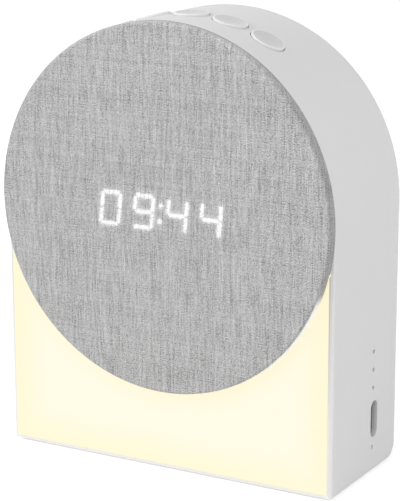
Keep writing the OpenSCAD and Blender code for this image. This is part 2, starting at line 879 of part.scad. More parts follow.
module speaker_top_plate() color("lightsteelblue") speaker_at() {
    translate([0, 0, basket_end]) difference() {
        cylinder(h = top_plate_t, r = plate_r);
        translate([0, 0, -over]) cylinder(h = top_plate_t + 2*over, r = gap_r);
    }
}

module speaker_magnet() color("darkslategray") speaker_at() {
    translate([0, 0, basket_end + top_plate_t]) difference() {
        cylinder(h = magnet_t, r = magnet_r);
        translate([0, 0, -over]) cylinder(h = magnet_t + 2*over, r = gap_r + coil_t);
    }
}

module speaker_yoke() color("lightsteelblue") speaker_at() {
    translate([0, 0, speaker_d - yoke_t]) cylinder(h = yoke_t, r = plate_r);
    translate([0, 0, basket_end]) cylinder(h = speaker_d - basket_end - fit, r = pole_r);
}

module speaker_cone() color("black") speaker_at() rotate_extrude() polygon([
    [cone_r, cone_front], [coil_r, cone_end], [coil_r, cone_end + cone_t], [cone_r, cone_front + cone_t]
]);

module dust_cap() color("black") speaker_at() rotate_extrude() intersection() {
    difference() {
        translate([0, cone_end + coil_r]) circle(coil_r*sqrt(2));
        translate([0, cone_end + coil_r]) circle(coil_r*sqrt(2) - cone_t/2);
    }
    translate([0, cone_front]) square([coil_r, cone_end - cone_front]);
}

module voice_coil() color("peru") speaker_at() difference() {
    union() {
        translate([0, 0, cone_end]) cylinder(h = coil_end - cone_end, r = coil_r);
        translate([0, 0, basket_end]) cylinder(h = coil_end - basket_end, r = coil_r + coil_t);
    }
    translate([0, 0, cone_end - over]) cylinder(h = coil_end - cone_end + 2*over, r = coil_r - former_t);
}

module speaker_surround() color("black") speaker_at() rotate_extrude() {
    mid = (cone_r + speaker_r - flange_w)/2;
    // Half roll towards the front, with a lip on the cone and a lip on the flange
    intersection() {
        translate([mid, cone_front]) difference() {
            circle(roll_r);
            circle(roll_r - roll_t);
        }
        translate([mid - roll_r, cone_front - roll_r]) square([2*roll_r, roll_r]);
    }
}

module speaker_spider() color("goldenrod") speaker_at() rotate_extrude() {
    outer = basket_back_r - basket_wall - fit;
    inner = coil_r + fit/2;
    step = (outer - inner)/(2*spider_waves_n);
    crest = [for (i = [0 : 2*spider_waves_n]) [inner + i*step, spider_front - (i % 2)*spider_wave]];
    // A pleated ring: the wave drawn twice, one thickness apart
    polygon(concat(crest, [for (i = [2*spider_waves_n : -1 : 0]) crest[i] + [0, spider_t]]));
}

module button_cap(angle) color("white") on_arch(angle) {
    cap_h = button_top - flange_low;
    translate([0, 0, flange_low]) {
        // Round cap with a rounded edge and a shallow hollow in its top
        rotate_extrude($fn = 96) difference() {
            section(button_r, cap_h, button_edge_r, 0);
            translate([0, cap_h - button_dish + dish_r]) circle(dish_r, $fn = 128);
        }
        // Flange that keeps the cap in, trimmed beside its neighbours
        linear_extrude(button_flange_t) intersection() {
            circle(button_flange_r);
            square([flange_l, 3*button_flange_r], center = true);
        }
    }
    translate([0, 0, stem_low]) cylinder(h = flange_low - stem_low + fit, r = stem_r);
}

module switch_plunger(angle) color("dimgray") on_arch(angle) {
    translate([0, 0, plunger_low]) cylinder(h = stem_low - plunger_low, r = plunger_r);
}

module switch_bodies() color("black") for (angle = button_angles) on_arch(angle) difference() {
    translate([-switch_l/2, -switch_l/2, switch_low]) cube([switch_l, switch_l, switch_h]);
    translate([0, 0, switch_bore_low]) {
        cylinder(h = switch_top - switch_bore_low + over, r = plunger_r + run_fit);
    }
}

// Point on the flat of the button at angle a, a distance t along the flat from its middle
function flat_point(r, a, t) = r*[sin(a), cos(a)] + t*[cos(a), -sin(a)];
// Corners of the chain of five flats, one under each button, its ends past the last buttons
function flats(r, end) = concat(
    [flat_point(r, -last_angle, -end)],
    [for (i = [-2 : 1]) flat_point(r, i*button_pitch, r*tan(button_pitch/2))],
    [flat_point(r, last_angle, end)]
);
function backwards(list) = [for (i = [len(list) - 1 : -1 : 0]) list[i]];

module flats_band(low, high, end, width) {
    slab(button_y - width/2, width) translate([0, arch_z]) {
        polygon(concat(flats(high, end), backwards(flats(low, end))));
    }
}

module button_flex() color("darkorange") flats_band(flex_low, switch_low, flex_end, flex_w);

// Children at the two bosses that the backer is screwed to, beside the outermost buttons
module backer_places() {
    for (side = [-1, 1]) on_arch(side*last_angle) translate([side*backer_hole, 0, 0]) children();
}

module switch_backer() color("lightgray") difference() {
    flats_band(backer_low, flex_low, backer_end, carrier_w - 2*rail_t - 2*fit);
    backer_places() translate([0, 0, backer_low - over]) {
        cylinder(h = backer_t + 2*over, r = screw_r + fit);
    }
}

// Curved guide under the arch: a block hollowed from below, with a bore for each stem, bosses
// for the backer and screw tabs
module button_carrier() color("lightgray") difference() {
    union() {
        difference() {
            front = button_y - carrier_w/2;
            arc_band(backer_low, carrier_top, front, carrier_w, carrier_angle);
            arc_band(backer_low - over, carrier_low, front + rail_t, carrier_w - 2*rail_t, end_angle);
        }
        backer_places() translate([0, 0, flex_low]) {
            cylinder(h = carrier_low - flex_low + fit, r = backer_boss_r);
        }
        slab(tab_front, tab_t) for (side = [-1, 1]) {
            on_ring(tab_ring_r, side*tab_angle) {
                circle(boss_r);
                rotate(-side*tab_angle) translate([side > 0 ? -tab_l : 0, -boss_r + fit]) {
                    square([tab_l, 2*(boss_r - fit)]);
                }
            }
        }
    }
    for (angle = button_angles) on_arch(angle) translate([0, 0, carrier_low - over]) {
        cylinder(h = carrier_t + 2*over, r = stem_r + fit);
    }
    for (side = [-1, 1]) {
        turned(side*tab_ring_r*sin(tab_angle), arch_z + tab_ring_r*cos(tab_angle), tab_front - over) {
            cylinder(h = tab_t + 2*over, r = screw_r + fit);
        }
    }
    backer_places() translate([0, 0, flex_low - over]) {
        cylinder(h = carrier_low - flex_low + over, r = screw_r + run_fit);
    }
}

// Part of a ring about the arch centre, as far as an angle to both sides of the top
module arc_band(low, high, from, width, angle) {
    turned(0, arch_z, from) rotate(-90 - angle) rotate_extrude(angle = 2*angle, $fn = 128) {
        translate([low, 0]) square([high - low, width]);
    }
}

module main_board() color("darkgreen") difference() {
    slab(main_front, board_t) translate([main_x, main_z]) square([main_w, main_h], center = true);
    for (x = main_holes_x, z = main_holes_z) turned(x, z, main_front - over) {
        cylinder(h = board_t + 2*over, r = screw_r + fit);
    }
}

module main_chips() color("black") for (c = chip_shares) {
    slab(main_front - c[4]*board_t, c[4]*board_t) {
        translate([main_x + c[0]*main_w, main_z + c[1]*main_h]) {
            square([c[2]*main_w, c[3]*main_h], center = true);
        }
    }
}

module board_capacitors() color("slategray") for (i = [0 : 1]) {
    x = main_x + can_share[0]*main_w + i*can_pitch;
    turned(x, main_z + can_share[1]*main_h, main_front - can_h) cylinder(h = can_h, r = can_r);
}

module board_connectors() color("ivory") for (i = [-2 : 2]) {
    x = main_x + i*connector_pitch - connector_l/2;
    slab(main_front - connector_h, connector_h) translate([x, main_z + main_h/2 - connector_w]) {
        difference() {
            square([connector_l, connector_w], center = true);
            square([connector_l - 2*rib_t, connector_w - 2*rib_t], center = true);
        }
    }
}

module usb_shell() color("lightsteelblue") {
    translate([arch_r - shell_back - shell_len, rim_y + slot_y, base_z + slot_z]) rotate([90, 0, 90]) {
        difference() {
            linear_extrude(shell_len) rotate(90) stadium(shell_l, shell_w);
            translate([0, 0, shell_t]) linear_extrude(shell_len) rotate(90) {
                stadium(shell_l - 2*shell_t, shell_w - 2*shell_t);
            }
        }
    }
}

module usb_tongue() color("black") {
    translate([arch_r - shell_back - shell_len + shell_t, rim_y + slot_y, base_z + slot_z]) {
        translate([0, -tongue_w/2, -tongue_l/2]) cube([tongue_len + shell_t, tongue_w, tongue_l]);
        // Block at the root of the tongue, filling the shell
        rotate([90, 0, 90]) linear_extrude(shell_len - tongue_len - 2*shell_t) rotate(90) {
            stadium(shell_l - 2*shell_t - fit, shell_w - 2*shell_t - fit);
        }
    }
}

// One clear moulding with a pin in each indicator hole
module light_pipe() color("lightcyan") {
    bar_x = inner_r - fit - pipe_bar_t;
    bar_h = 2*indicator_pitch + 4*indicator_r;
    translate([bar_x, rim_y + port_y - pipe_bar_w/2, base_z + indicator_z - bar_h/2]) {
        cube([pipe_bar_t, pipe_bar_w, bar_h]);
    }
    for (i = [-1 : 1]) translate([bar_x, rim_y + port_y, base_z + indicator_z + i*indicator_pitch]) {
        rotate([0, 90, 0]) cylinder(h = arch_r - pipe_back - bar_x, r = indicator_r - run_fit, $fn = 24);
    }
}

module indicator_leds() color("ivory") for (i = [-1 : 1]) {
    translate([inner_r - fit*2 - pipe_bar_t - side_led_l, rim_y + main_front - side_led_h, 0]) {
        translate([0, 0, base_z + indicator_z + i*indicator_pitch - side_led_w/2]) {
            cube([side_led_l, side_led_h, side_led_w]);
        }
    }
}

module reset_switch() color("black") difference() {
    translate([reset_face - reset_body_l, rim_y + main_front - reset_body, base_z + reset_z]) {
        translate([0, 0, -reset_body/2]) cube([reset_body_l, reset_body, reset_body]);
    }
    translate([reset_face - reset_plunger_l, rim_y + port_y, base_z + reset_z]) rotate([0, 90, 0]) {
        cylinder(h = reset_plunger_l + over, r = reset_plunger_r + run_fit, $fn = 32);
    }
}

module reset_plunger() color("dimgray") {
    tail = reset_plunger_l - reset_travel - fit*2;
    translate([reset_face - tail, rim_y + port_y, base_z + reset_z]) rotate([0, 90, 0]) {
        cylinder(h = tail + reset_proud, r = reset_plunger_r, $fn = 32);
    }
}

module battery_cell() color("silver") {
    slab(back_wall_d - cell_t, cell_t) translate([cell_x, cell_z]) difference() {
        square([cell_w, cell_h], center = true);
        for (sx = [0, 1], sz = [0, 1]) mirror([sx, 0]) mirror([0, sz]) {
            translate([cell_w/2 - cell_edge_r, cell_h/2 - cell_edge_r]) corner_cut(cell_edge_r);
        }
    }
}

module chassis_screws() color("gray") for (angle = chassis_angles) {
    turned(pillar_ring_r*sin(angle), arch_z + pillar_ring_r*cos(angle), screw_head_t + fit) {
        mirror([0, 0, 1]) screw(chassis_screw_l - screw_head_t);
    }
}

module carrier_screws() color("gray") for (side = [-1, 1]) {
    turned(side*tab_ring_r*sin(tab_angle), arch_z + tab_ring_r*cos(tab_angle), tab_front) {
        mirror([0, 0, 1]) screw(carrier_screw_l);
    }
}

module backer_screws() color("gray") backer_places() {
    translate([0, 0, backer_low]) mirror([0, 0, 1]) screw(backer_t + carrier_low - flex_low - fit*2);
}

module board_screws() color("gray") for (x = main_holes_x, z = main_holes_z) {
    turned(x, z, main_front) mirror([0, 0, 1]) screw(main_screw_l);
}

module display_screws() color("gray") for (side = [-1, 1]) {
    turned(display_x + side*display_hole_x, display_z, mask_back + board_t) {
        screw(mask_back + board_t - seat_gap*2);
    }
}

module speaker_screws() color("gray") for (angle = speaker_angles) {
    turned(ear_ring_r*sin(angle), speaker_z + ear_ring_r*cos(angle), speaker_front + flange_t) {
        screw(speaker_front + flange_t - seat_gap*2);
    }
}

module lug_screws() color("gray") for (angle = lug_angles) {
    turned(lug_ring_r*sin(angle), arch_z + lug_ring_r*cos(angle), tray_front + lug_t) {
        screw(tray_front + lug_t - seat_gap*2);
    }
}

module lamp_screws() color("gray") for (side = [-1, 1]) {
    turned(side*(lamp_board_w/2 - boss_r), lamp_board_z, tray_front + tray_d + lamp_board_t) {
        screw(lamp_board_t + tray_wall);
    }
}

module rubber_feet() color("dimgray") for (x = [-foot_x, foot_x], y = foot_y) {
    translate([x, rim_y + y, 0]) cylinder(h = foot_proud + foot_pocket, r = foot_r);
}

housing();
grille_disc();
grille_cloth();
front_chassis();
lamp_diffuser();
lamp_reflector();
lamp_board();
lamp_leds();
display_mask();
display_film();
display_board();
display_leds();
speaker_gasket();
speaker_basket();
speaker_top_plate();
speaker_magnet();
speaker_yoke();
speaker_cone();
dust_cap();
voice_coil();
speaker_surround();
speaker_spider();
button_cap(button_angles[0]);  // button_far_left
button_cap(button_angles[1]);  // button_left
button_cap(button_angles[2]);  // button_middle
button_cap(button_angles[3]);  // button_right
button_cap(button_angles[4]);  // button_far_right
switch_plunger(button_angles[0]);  // plunger_far_left
switch_plunger(button_angles[1]);  // plunger_left
switch_plunger(button_angles[2]);  // plunger_middle
switch_plunger(button_angles[3]);  // plunger_right
switch_plunger(button_angles[4]);  // plunger_far_right
switch_bodies();
button_flex();
switch_backer();
button_carrier();
main_board();
main_chips();
board_capacitors();
board_connectors();
usb_shell();
usb_tongue();
light_pipe();
indicator_leds();
reset_switch();
reset_plunger();
battery_cell();
chassis_screws();
carrier_screws();
backer_screws();
board_screws();
display_screws();
speaker_screws();
lug_screws();
lamp_screws();
rubber_feet();
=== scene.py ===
import json
import math
import bpy
import numpy as np
from mathutils import Matrix, Vector


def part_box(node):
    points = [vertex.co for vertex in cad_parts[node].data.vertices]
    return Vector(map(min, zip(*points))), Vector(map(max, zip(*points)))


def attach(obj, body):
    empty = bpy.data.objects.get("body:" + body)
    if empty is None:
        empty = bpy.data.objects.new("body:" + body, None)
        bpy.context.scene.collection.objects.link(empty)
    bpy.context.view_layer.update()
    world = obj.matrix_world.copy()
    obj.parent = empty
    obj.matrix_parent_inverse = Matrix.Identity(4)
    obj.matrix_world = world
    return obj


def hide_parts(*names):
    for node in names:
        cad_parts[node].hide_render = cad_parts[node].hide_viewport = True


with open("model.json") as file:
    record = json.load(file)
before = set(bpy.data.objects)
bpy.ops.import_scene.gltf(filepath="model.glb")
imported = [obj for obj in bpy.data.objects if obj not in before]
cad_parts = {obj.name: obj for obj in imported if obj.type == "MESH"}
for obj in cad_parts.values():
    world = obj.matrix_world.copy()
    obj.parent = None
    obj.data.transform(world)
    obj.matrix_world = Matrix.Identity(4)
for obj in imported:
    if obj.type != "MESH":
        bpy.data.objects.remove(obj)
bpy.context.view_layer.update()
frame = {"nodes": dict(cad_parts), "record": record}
print("Frame loaded with", len(frame["nodes"]), "nodes")

# The frame is in metres; lengths that only the materials use are plain numbers of millimetres
mm = 0.001

# Places of the clock's main faces, read off the frame
clothLow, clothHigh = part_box("grille_cloth")
discCentre = Vector(((clothLow.x + clothHigh.x)/2, clothLow.y, (clothLow.z + clothHigh.z)/2))
discRadius = (clothHigh.x - clothLow.x)/2
maskLow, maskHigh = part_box("display_mask")
displayCentre = (maskLow + maskHigh)/2
lampLow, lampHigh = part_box("lamp_diffuser")
shellLow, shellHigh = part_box("housing")
slotLow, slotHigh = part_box("usb_shell")
keyLow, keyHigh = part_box("button_middle")


# Node helpers

def newMaterial(name):
    material = bpy.data.materials.new(name)
    material.use_nodes = True
    tree = material.node_tree
    return material, tree, tree.nodes["Principled BSDF"]


def addNode(tree, kind, **settings):
    added = tree.nodes.new(kind)
    for key, value in settings.items():
        setattr(added, key, value)
    return added


def feed(tree, socket, value):
    # A number or colour is set on the socket itself, the output of another node is linked to it
    if isinstance(value, (int, float)):
        socket.default_value = value
    elif isinstance(value, tuple):
        socket.default_value = value if len(value) == len(socket.default_value) else (*value, 1)
    else:
        tree.links.new(value, socket)


def feedAll(tree, node, values):
    for name, value in values.items():
        feed(tree, node.inputs[name], value)


def calc(tree, operation, *values):
    added = addNode(tree, "ShaderNodeMath", operation=operation)
    for socket, value in zip(added.inputs, values):
        feed(tree, socket, value)
    return added.outputs[0]


def plus(tree, first, second):
    return calc(tree, "ADD", first, second)


def minus(tree, first, second):
    return calc(tree, "SUBTRACT", first, second)


def times(tree, first, second):
    return calc(tree, "MULTIPLY", first, second)


def larger(tree, first, second):
    return calc(tree, "MAXIMUM", first, second)


def absolute(tree, value):
    return calc(tree, "ABSOLUTE", value)


def hypot(tree, first, second):
    # Square root of first squared plus second squared
    return calc(tree, "SQRT", plus(tree, times(tree, first, first), times(tree, second, second)))


def swung(tree, value, swing):
    # A value of 0 to 1 as a swing about nothing: swing (value - 0.5)
    return times(tree, minus(tree, value, 0.5), swing)


def mixColors(tree, share, first, second, blend="MIX"):
    # The Mix node has its colours at inputs 6 and 7 and gives the mixed one at output 2
    added = addNode(tree, "ShaderNodeMix", data_type="RGBA", blend_type=blend)
    for place, value in ((0, share), (6, first), (7, second)):
        feed(tree, added.inputs[place], value)
    return added.outputs[2]


def mixNumber(tree, share, first, second):
    # The Mix node has its numbers at inputs 2 and 3 and gives the mixed one at output 0
    added = addNode(tree, "ShaderNodeMix", data_type="FLOAT")
    for place, value in ((0, share), (2, first), (3, second)):
        feed(tree, added.inputs[place], value)
    return added.outputs[0]


def remap(tree, value, low, high, toLow=0.0, toHigh=1.0, smooth=False):
    kind = "SMOOTHSTEP" if smooth else "LINEAR"
    added = addNode(tree, "ShaderNodeMapRange", interpolation_type=kind)
    for socket, number in zip(added.inputs, (value, low, high, toLow, toHigh)):
        feed(tree, socket, number)
    return added.outputs[0]


def objectPoint(tree, centre=(0, 0, 0), scale=1/mm):
    # The object's own coordinates about a centre, in millimetres unless another scale is given
    place = addNode(tree, "ShaderNodeTexCoord").outputs["Object"]
    shift = addNode(tree, "ShaderNodeVectorMath", operation="SUBTRACT")
    feed(tree, shift.inputs[0], place)
    feed(tree, shift.inputs[1], tuple(centre))
    grow = addNode(tree, "ShaderNodeVectorMath", operation="SCALE")
    feed(tree, grow.inputs[0], shift.outputs[0])
    feed(tree, grow.inputs["Scale"], scale)
    return grow.outputs[0]


def splitPoint(tree, point):
    parts = addNode(tree, "ShaderNodeSeparateXYZ")
    feed(tree, parts.inputs[0], point)
    return parts.outputs


def joinPoint(tree, x, y):
    joined = addNode(tree, "ShaderNodeCombineXYZ")
    feed(tree, joined.inputs[0], x)
    feed(tree, joined.inputs[1], y)
    return joined.outputs[0]


def noise(tree, point, size, detail=2.0, roughness=0.5, stretch=None, dimensions="3D"):
    # Noise whose blotches are about size millimetres across
    if stretch:
        squeeze = addNode(tree, "ShaderNodeVectorMath", operation="MULTIPLY")
        feed(tree, squeeze.inputs[0], point)
        feed(tree, squeeze.inputs[1], stretch)
        point = squeeze.outputs[0]
    cloud = addNode(tree, "ShaderNodeTexNoise", noise_dimensions=dimensions)
    feedAll(tree, cloud, {"Vector": point, "Scale": 1/size, "Detail": detail, "Roughness": roughness})
    return cloud.outputs["Fac"]


def relief(tree, height, depth):
    # Surface direction of a relief; depth is the height in millimetres that a value of 1 stands for
    added = addNode(tree, "ShaderNodeBump")
    feedAll(tree, added, {"Strength": 1.0, "Distance": depth*mm, "Height": height})
    return added.outputs[0]


# Finishes that the clock's own pieces share

usualCloud = (0.3, 0.7)     # most of a noise lies between these


def gloss(tree, cloud, low, high):
    # Roughness that goes from low to high with the noise
    return remap(tree, cloud, *usualCloud, low, high)


def toned(color, share):
    return tuple(c*share for c in color)


moulding = {
    "rough": 0.55,
    "roughSwing": 0.06,
    "grain": 0.35,
    "grainDetail": 3.0,
    "grainDepth": 0.006,
    "shade": 0.03,                  # how much darker the drift makes the colour
    "driftGrains": 30,              # size of the drift, in grains
    "driftRange": (0.35, 0.65),
}


def mouldedPlastic(name, color, **changes):
    # Spark-eroded moulding: fine grain in the relief and gloss, faint broad drift in the colour
    settings = {**moulding, **changes}
    material, tree, shader = newMaterial(name)
    point = objectPoint(tree)
    fine = noise(tree, point, settings["grain"], detail=settings["grainDetail"])
    broad = noise(tree, point, settings["driftGrains"]*settings["grain"])
    drift = remap(tree, broad, *settings["driftRange"])
    rough, swing = settings["rough"], settings["roughSwing"]
    feedAll(tree, shader, {
        "Base Color": mixColors(tree, drift, toned(color, 1 - settings["shade"]), color),
        "Roughness": gloss(tree, fine, rough - swing, rough + swing),
        "Normal": relief(tree, fine, settings["grainDepth"]),
    })
    return material


def reopen(material):
    # Node tree and shader of a moulded plastic, and the output that feeds its base colour
    tree = material.node_tree
    shader = tree.nodes["Principled BSDF"]
    return tree, shader, shader.inputs["Base Color"].links[0].from_socket


brushing = {
    "rough": 0.45,
    "roughBelow": 0.08,
    "roughAbove": 0.1,
    "grain": 0.15,
    "grainDetail": 3.0,
    "grainStretch": (1.0, 0.08, 1.0),
    "grainDepth": 0.004,
    "darkShare": 0.8,
}


def brushedMetal(name, color, **changes):
    # Streaks along Y in the colour, gloss and relief
    settings = {**brushing, **changes}
    material, tree, shader = newMaterial(name)
    streak = noise(tree, objectPoint(tree), settings["grain"], detail=settings["grainDetail"],
                   stretch=settings["grainStretch"])
    rough = settings["rough"]
    feedAll(tree, shader, {
        "Base Color": mixColors(tree, streak, toned(color, settings["darkShare"]), color),
        "Roughness": gloss(tree, streak, rough - settings["roughBelow"], rough + settings["roughAbove"]),
        "Metallic": 1.0,
        "Normal": relief(tree, streak, settings["grainDepth"]),
    })
    return material


circuit = {
    "pitch": 1.6,
    "wander": 8.0,
    "wanderSize": 9.0,
    "trackEdge": (0.18, 0.28),
    "trackShare": 0.6,
    "padPitch": 3.2,
    "padEdge": (0.12, 0.16),
    "padColor": (0.75, 0.74, 0.70),
    "padMetal": 0.8,
    "rough": (0.22, 0.34),
    "roughSize": 2.0,
    "depth": 0.03,
}


def circuitBoard(name, color, trackColor, **changes):
    # Solder mask over rows of copper tracks, with a scatter of tinned pads
    settings = {**circuit, **changes}
    material, tree, shader = newMaterial(name)
    point = objectPoint(tree)
    x, _, z = splitPoint(tree, point)
    wander = times(tree, noise(tree, point, settings["wanderSize"], detail=0.0), settings["wander"])
    run = calc(tree, "PINGPONG", plus(tree, plus(tree, x, z), wander), settings["pitch"]/2)
    track = remap(tree, run, *settings["trackEdge"], 1.0, 0.0)
    cells = addNode(tree, "ShaderNodeTexVoronoi")
    feedAll(tree, cells, {"Vector": point, "Scale": 1/settings["padPitch"]})
    pad = remap(tree, cells.outputs["Distance"], *settings["padEdge"], 1.0, 0.0)
    masked = mixColors(tree, times(tree, track, settings["trackShare"]), color, trackColor)
    feedAll(tree, shader, {
        "Base Color": mixColors(tree, pad, masked, settings["padColor"]),
        "Metallic": times(tree, pad, settings["padMetal"]),
        "Roughness": gloss(tree, noise(tree, point, settings["roughSize"]), *settings["rough"]),
        "Normal": relief(tree, larger(tree, track, pad), settings["depth"]),
    })
    return material


rubber = {
    "rough": 0.75,
    "roughSwing": 0.08,
    "grain": 0.3,
    "grainDetail": 4.0,
    "grainDepth": 0.012,
    "dust": 0.25,
    "dustColor": (0.3, 0.3, 0.3),
    "dustSize": 5.0,
    "dustDetail": 3.0,
    "dustRange": (0.5, 0.75),
}


def softRubber(name, color, **changes):
    # Fine grain in the relief and gloss, patches of dust in the colour
    settings = {**rubber, **changes}
    material, tree, shader = newMaterial(name)
    point = objectPoint(tree)
    fine = noise(tree, point, settings["grain"], detail=settings["grainDetail"])
    patches = noise(tree, point, settings["dustSize"], detail=settings["dustDetail"])
    dust = remap(tree, patches, *settings["dustRange"], 0.0, settings["dust"])
    rough, swing = settings["rough"], settings["roughSwing"]
    feedAll(tree, shader, {
        "Base Color": mixColors(tree, dust, color, settings["dustColor"]),
        "Roughness": gloss(tree, fine, rough - swing, rough + swing),
        "Normal": relief(tree, fine, settings["grainDepth"]),
    })
    return material


clearPlastic = {
    "hazeSize": 0.8,
    "hazeShare": 0.8,
    "rough": (0.1, 0.2),
    "refraction": 1.49,
    "transmission": 0.5,
}


def tintedClear(name, color, settings):
    material, tree, shader = newMaterial(name)
    haze = noise(tree, objectPoint(tree), settings["hazeSize"])
    feedAll(tree, shader, {
        "Base Color": mixColors(tree, haze, toned(color, settings["hazeShare"]), color),
        "Roughness": gloss(tree, haze, *settings["rough"]),
        "IOR": settings["refraction"],
        "Transmission Weight": settings["transmission"],
    })
    return material


phosphor = {
    "speckSize": 0.25,
    "speckShare": 0.85,
    "rough": 0.4,
}


def phosphorLamp(name, color, glow, settings):
    # White package with a lit phosphor face
    material, tree, shader = newMaterial(name)
    speck = noise(tree, objectPoint(tree), settings["speckSize"])
    feedAll(tree, shader, {
        "Base Color": mixColors(tree, speck, toned(color, settings["speckShare"]), color),
        "Roughness": settings["rough"],
        "Emission Color": color,
        "Emission Strength": glow,
    })
    return material


# Speaker: woven spider, paper cone and copper coil

spiderCloth = {
    "color": (0.36, 0.2, 0.06),
    "gapColor": (0.1, 0.05, 0.015),
    "pitch": 0.45,
    "rough": 0.85,
    "depth": 0.06,
}


def openWeave(name, settings):
    # Crossed round threads, seen along Y: the larger of the rises of two rows of threads, 0 to 1
    material, tree, shader = newMaterial(name)
    x, _, z = splitPoint(tree, objectPoint(tree))
    half = settings["pitch"]/2
    across = calc(tree, "PINGPONG", x, half)
    along = calc(tree, "PINGPONG", z, half)
    thread = calc(tree, "DIVIDE", larger(tree, across, along), half)
    feedAll(tree, shader, {
        "Base Color": mixColors(tree, thread, settings["gapColor"], settings["color"]),
        "Roughness": settings["rough"],
        "Normal": relief(tree, thread, settings["depth"]),
    })
    return material


coneFibre = {
    "color": (0.02, 0.02, 0.02),
    "lightShare": 1.6,
    "lightLift": 0.01,
    "size": 0.5,
    "detail": 5.0,
    "raggedness": 0.7,
    "range": (0.4, 0.7),
    "rough": 0.9,
    "depth": 0.03,
}


def pulpPaper(name, settings):
    # Pale fibres in dark pulp
    material, tree, shader = newMaterial(name)
    fibre = noise(tree, objectPoint(tree), settings["size"], detail=settings["detail"],
                  roughness=settings["raggedness"])
    color = settings["color"]
    lighter = tuple(c*settings["lightShare"] + settings["lightLift"] for c in color)
    feedAll(tree, shader, {
        "Base Color": mixColors(tree, remap(tree, fibre, *settings["range"]), color, lighter),
        "Roughness": settings["rough"],
        "Normal": relief(tree, fibre, settings["depth"]),
    })
    return material


coilWire = {
    "color": (0.72, 0.32, 0.14),
    "gapShare": 0.4,
    "pitch": 0.18,
    "metal": 0.9,
    "rough": 0.3,
    "depth": 0.05,
}


def woundCopper(name, settings):
    # Turns about the Y axis, each rising from 0 to 1 and falling again over one pitch
    material, tree, shader = newMaterial(name)
    _, y, _ = splitPoint(tree, objectPoint(tree))
    half = settings["pitch"]/2
    turn = calc(tree, "DIVIDE", calc(tree, "PINGPONG", y, half), half)
    color = settings["color"]
    # Painted shade darkens the gaps between the turns
    feedAll(tree, shader, {
        "Base Color": mixColors(tree, turn, toned(color, settings["gapShare"]), color),
        "Metallic": settings["metal"],
        "Roughness": settings["rough"],
        "Normal": relief(tree, turn, settings["depth"]),
    })
    return material


# Battery: pouch of crinkled laminate

cellFoil = {
    "color": (0.62, 0.62, 0.64),
    "creaseShare": 0.75,
    "creasePitch": 4.5,
    "creaseWidth": 0.25,
    "metal": 0.85,
    "rough": (0.28, 0.42),
    "roughSize": 3.0,
    "depth": 0.08,
}


def foilPouch(name, settings):
    material, tree, shader = newMaterial(name)
    point = objectPoint(tree)
    creases = addNode(tree, "ShaderNodeTexVoronoi", feature="DISTANCE_TO_EDGE")
    feedAll(tree, creases, {"Vector": point, "Scale": 1/settings["creasePitch"]})
    crinkle = remap(tree, creases.outputs["Distance"], 0.0, settings["creaseWidth"])
    # Painted shade darkens the creases
    color = settings["color"]
    feedAll(tree, shader, {
        "Base Color": mixColors(tree, crinkle, toned(color, settings["creaseShare"]), color),
        "Metallic": settings["metal"],
        "Roughness": gloss(tree, noise(tree, point, settings["roughSize"]), *settings["rough"]),
        "Normal": relief(tree, crinkle, settings["depth"]),
    })
    return material


# Lamp diffuser: opal sheet lit from behind by the row of LEDs near its foot

lamp = {
    "edgeColor": (0.985, 0.895, 0.625),
    "middleColor": (0.985, 0.912, 0.735),
    "edgeWidth": 9.0,               # from the one colour to the other
    "edgeBlend": 4.0,
    "discEdge": 2.5,                # how far the lit area goes on behind the disc
    "drift": 5.0,
    "driftSize": 14.0,
    "glow": 0.9,
    "fullUpTo": 16.0,               # height over the foot to which the LEDs light it fully
    "noneFrom": 90.0,
    "flankColor": (0.93, 0.92, 0.86),
    "flankShare": 0.83,
    "flankDepth": (0.03, 0.1),      # behind the front face, where the flank begins
    "slitWidth": (0.38, 0.45),      # off the disc, where the slit ends
    "bodyColor": (0.10, 0.097, 0.085),
    "grain": 0.3,
    "grainDepth": 0.004,
    "rough": (0.42, 0.52),
}


def lampStrength(tree, z):
    # Full near the lamp's foot, falling evenly with the height above that
    rise = minus(tree, z, lampLow.z/mm)
    return remap(tree, rise, lamp["fullUpTo"], lamp["noneFrom"], 1.0, 0.0)


def litDiffuser(name, settings):
    material, tree, shader = newMaterial(name)
    point = objectPoint(tree)
    x, y, z = splitPoint(tree, point)
    side = minus(tree, lampHigh.x/mm, absolute(tree, x))
    foot = minus(tree, z, lampLow.z/mm)
    arc = minus(tree, hypot(tree, x, minus(tree, z, discCentre.z/mm)), discRadius/mm)
    # Distance to the nearest edge of the lit area, be it side, foot or disc, blended where two are near
    blend = settings["edgeBlend"]
    near = calc(tree, "SMOOTH_MIN", side, foot, blend)
    near = calc(tree, "SMOOTH_MIN", near, plus(tree, arc, settings["discEdge"]), blend)
    drift = swung(tree, noise(tree, point, settings["driftSize"]), settings["drift"])
    share = remap(tree, plus(tree, near, drift), 0.0, settings["edgeWidth"], smooth=True)
    color = mixColors(tree, share, settings["edgeColor"], settings["middleColor"])
    # The sides of the raised plate give less light, except in the slit along the disc
    behind = remap(tree, minus(tree, y, lampLow.y/mm), *settings["flankDepth"])
    flank = times(tree, behind, remap(tree, arc, *settings["slitWidth"]))
    dimmed = times(tree, lampStrength(tree, z), settings["glow"]*settings["flankShare"])
    grain = noise(tree, point, settings["grain"])
    feedAll(tree, shader, {
        "Base Color": settings["bodyColor"],
        "Emission Color": mixColors(tree, flank, color, settings["flankColor"]),
        "Emission Strength": mixNumber(tree, flank, settings["glow"], dimmed),
        "Roughness": gloss(tree, grain, *settings["rough"]),
        "Normal": relief(tree, grain, settings["grainDepth"]),
    })
    return material
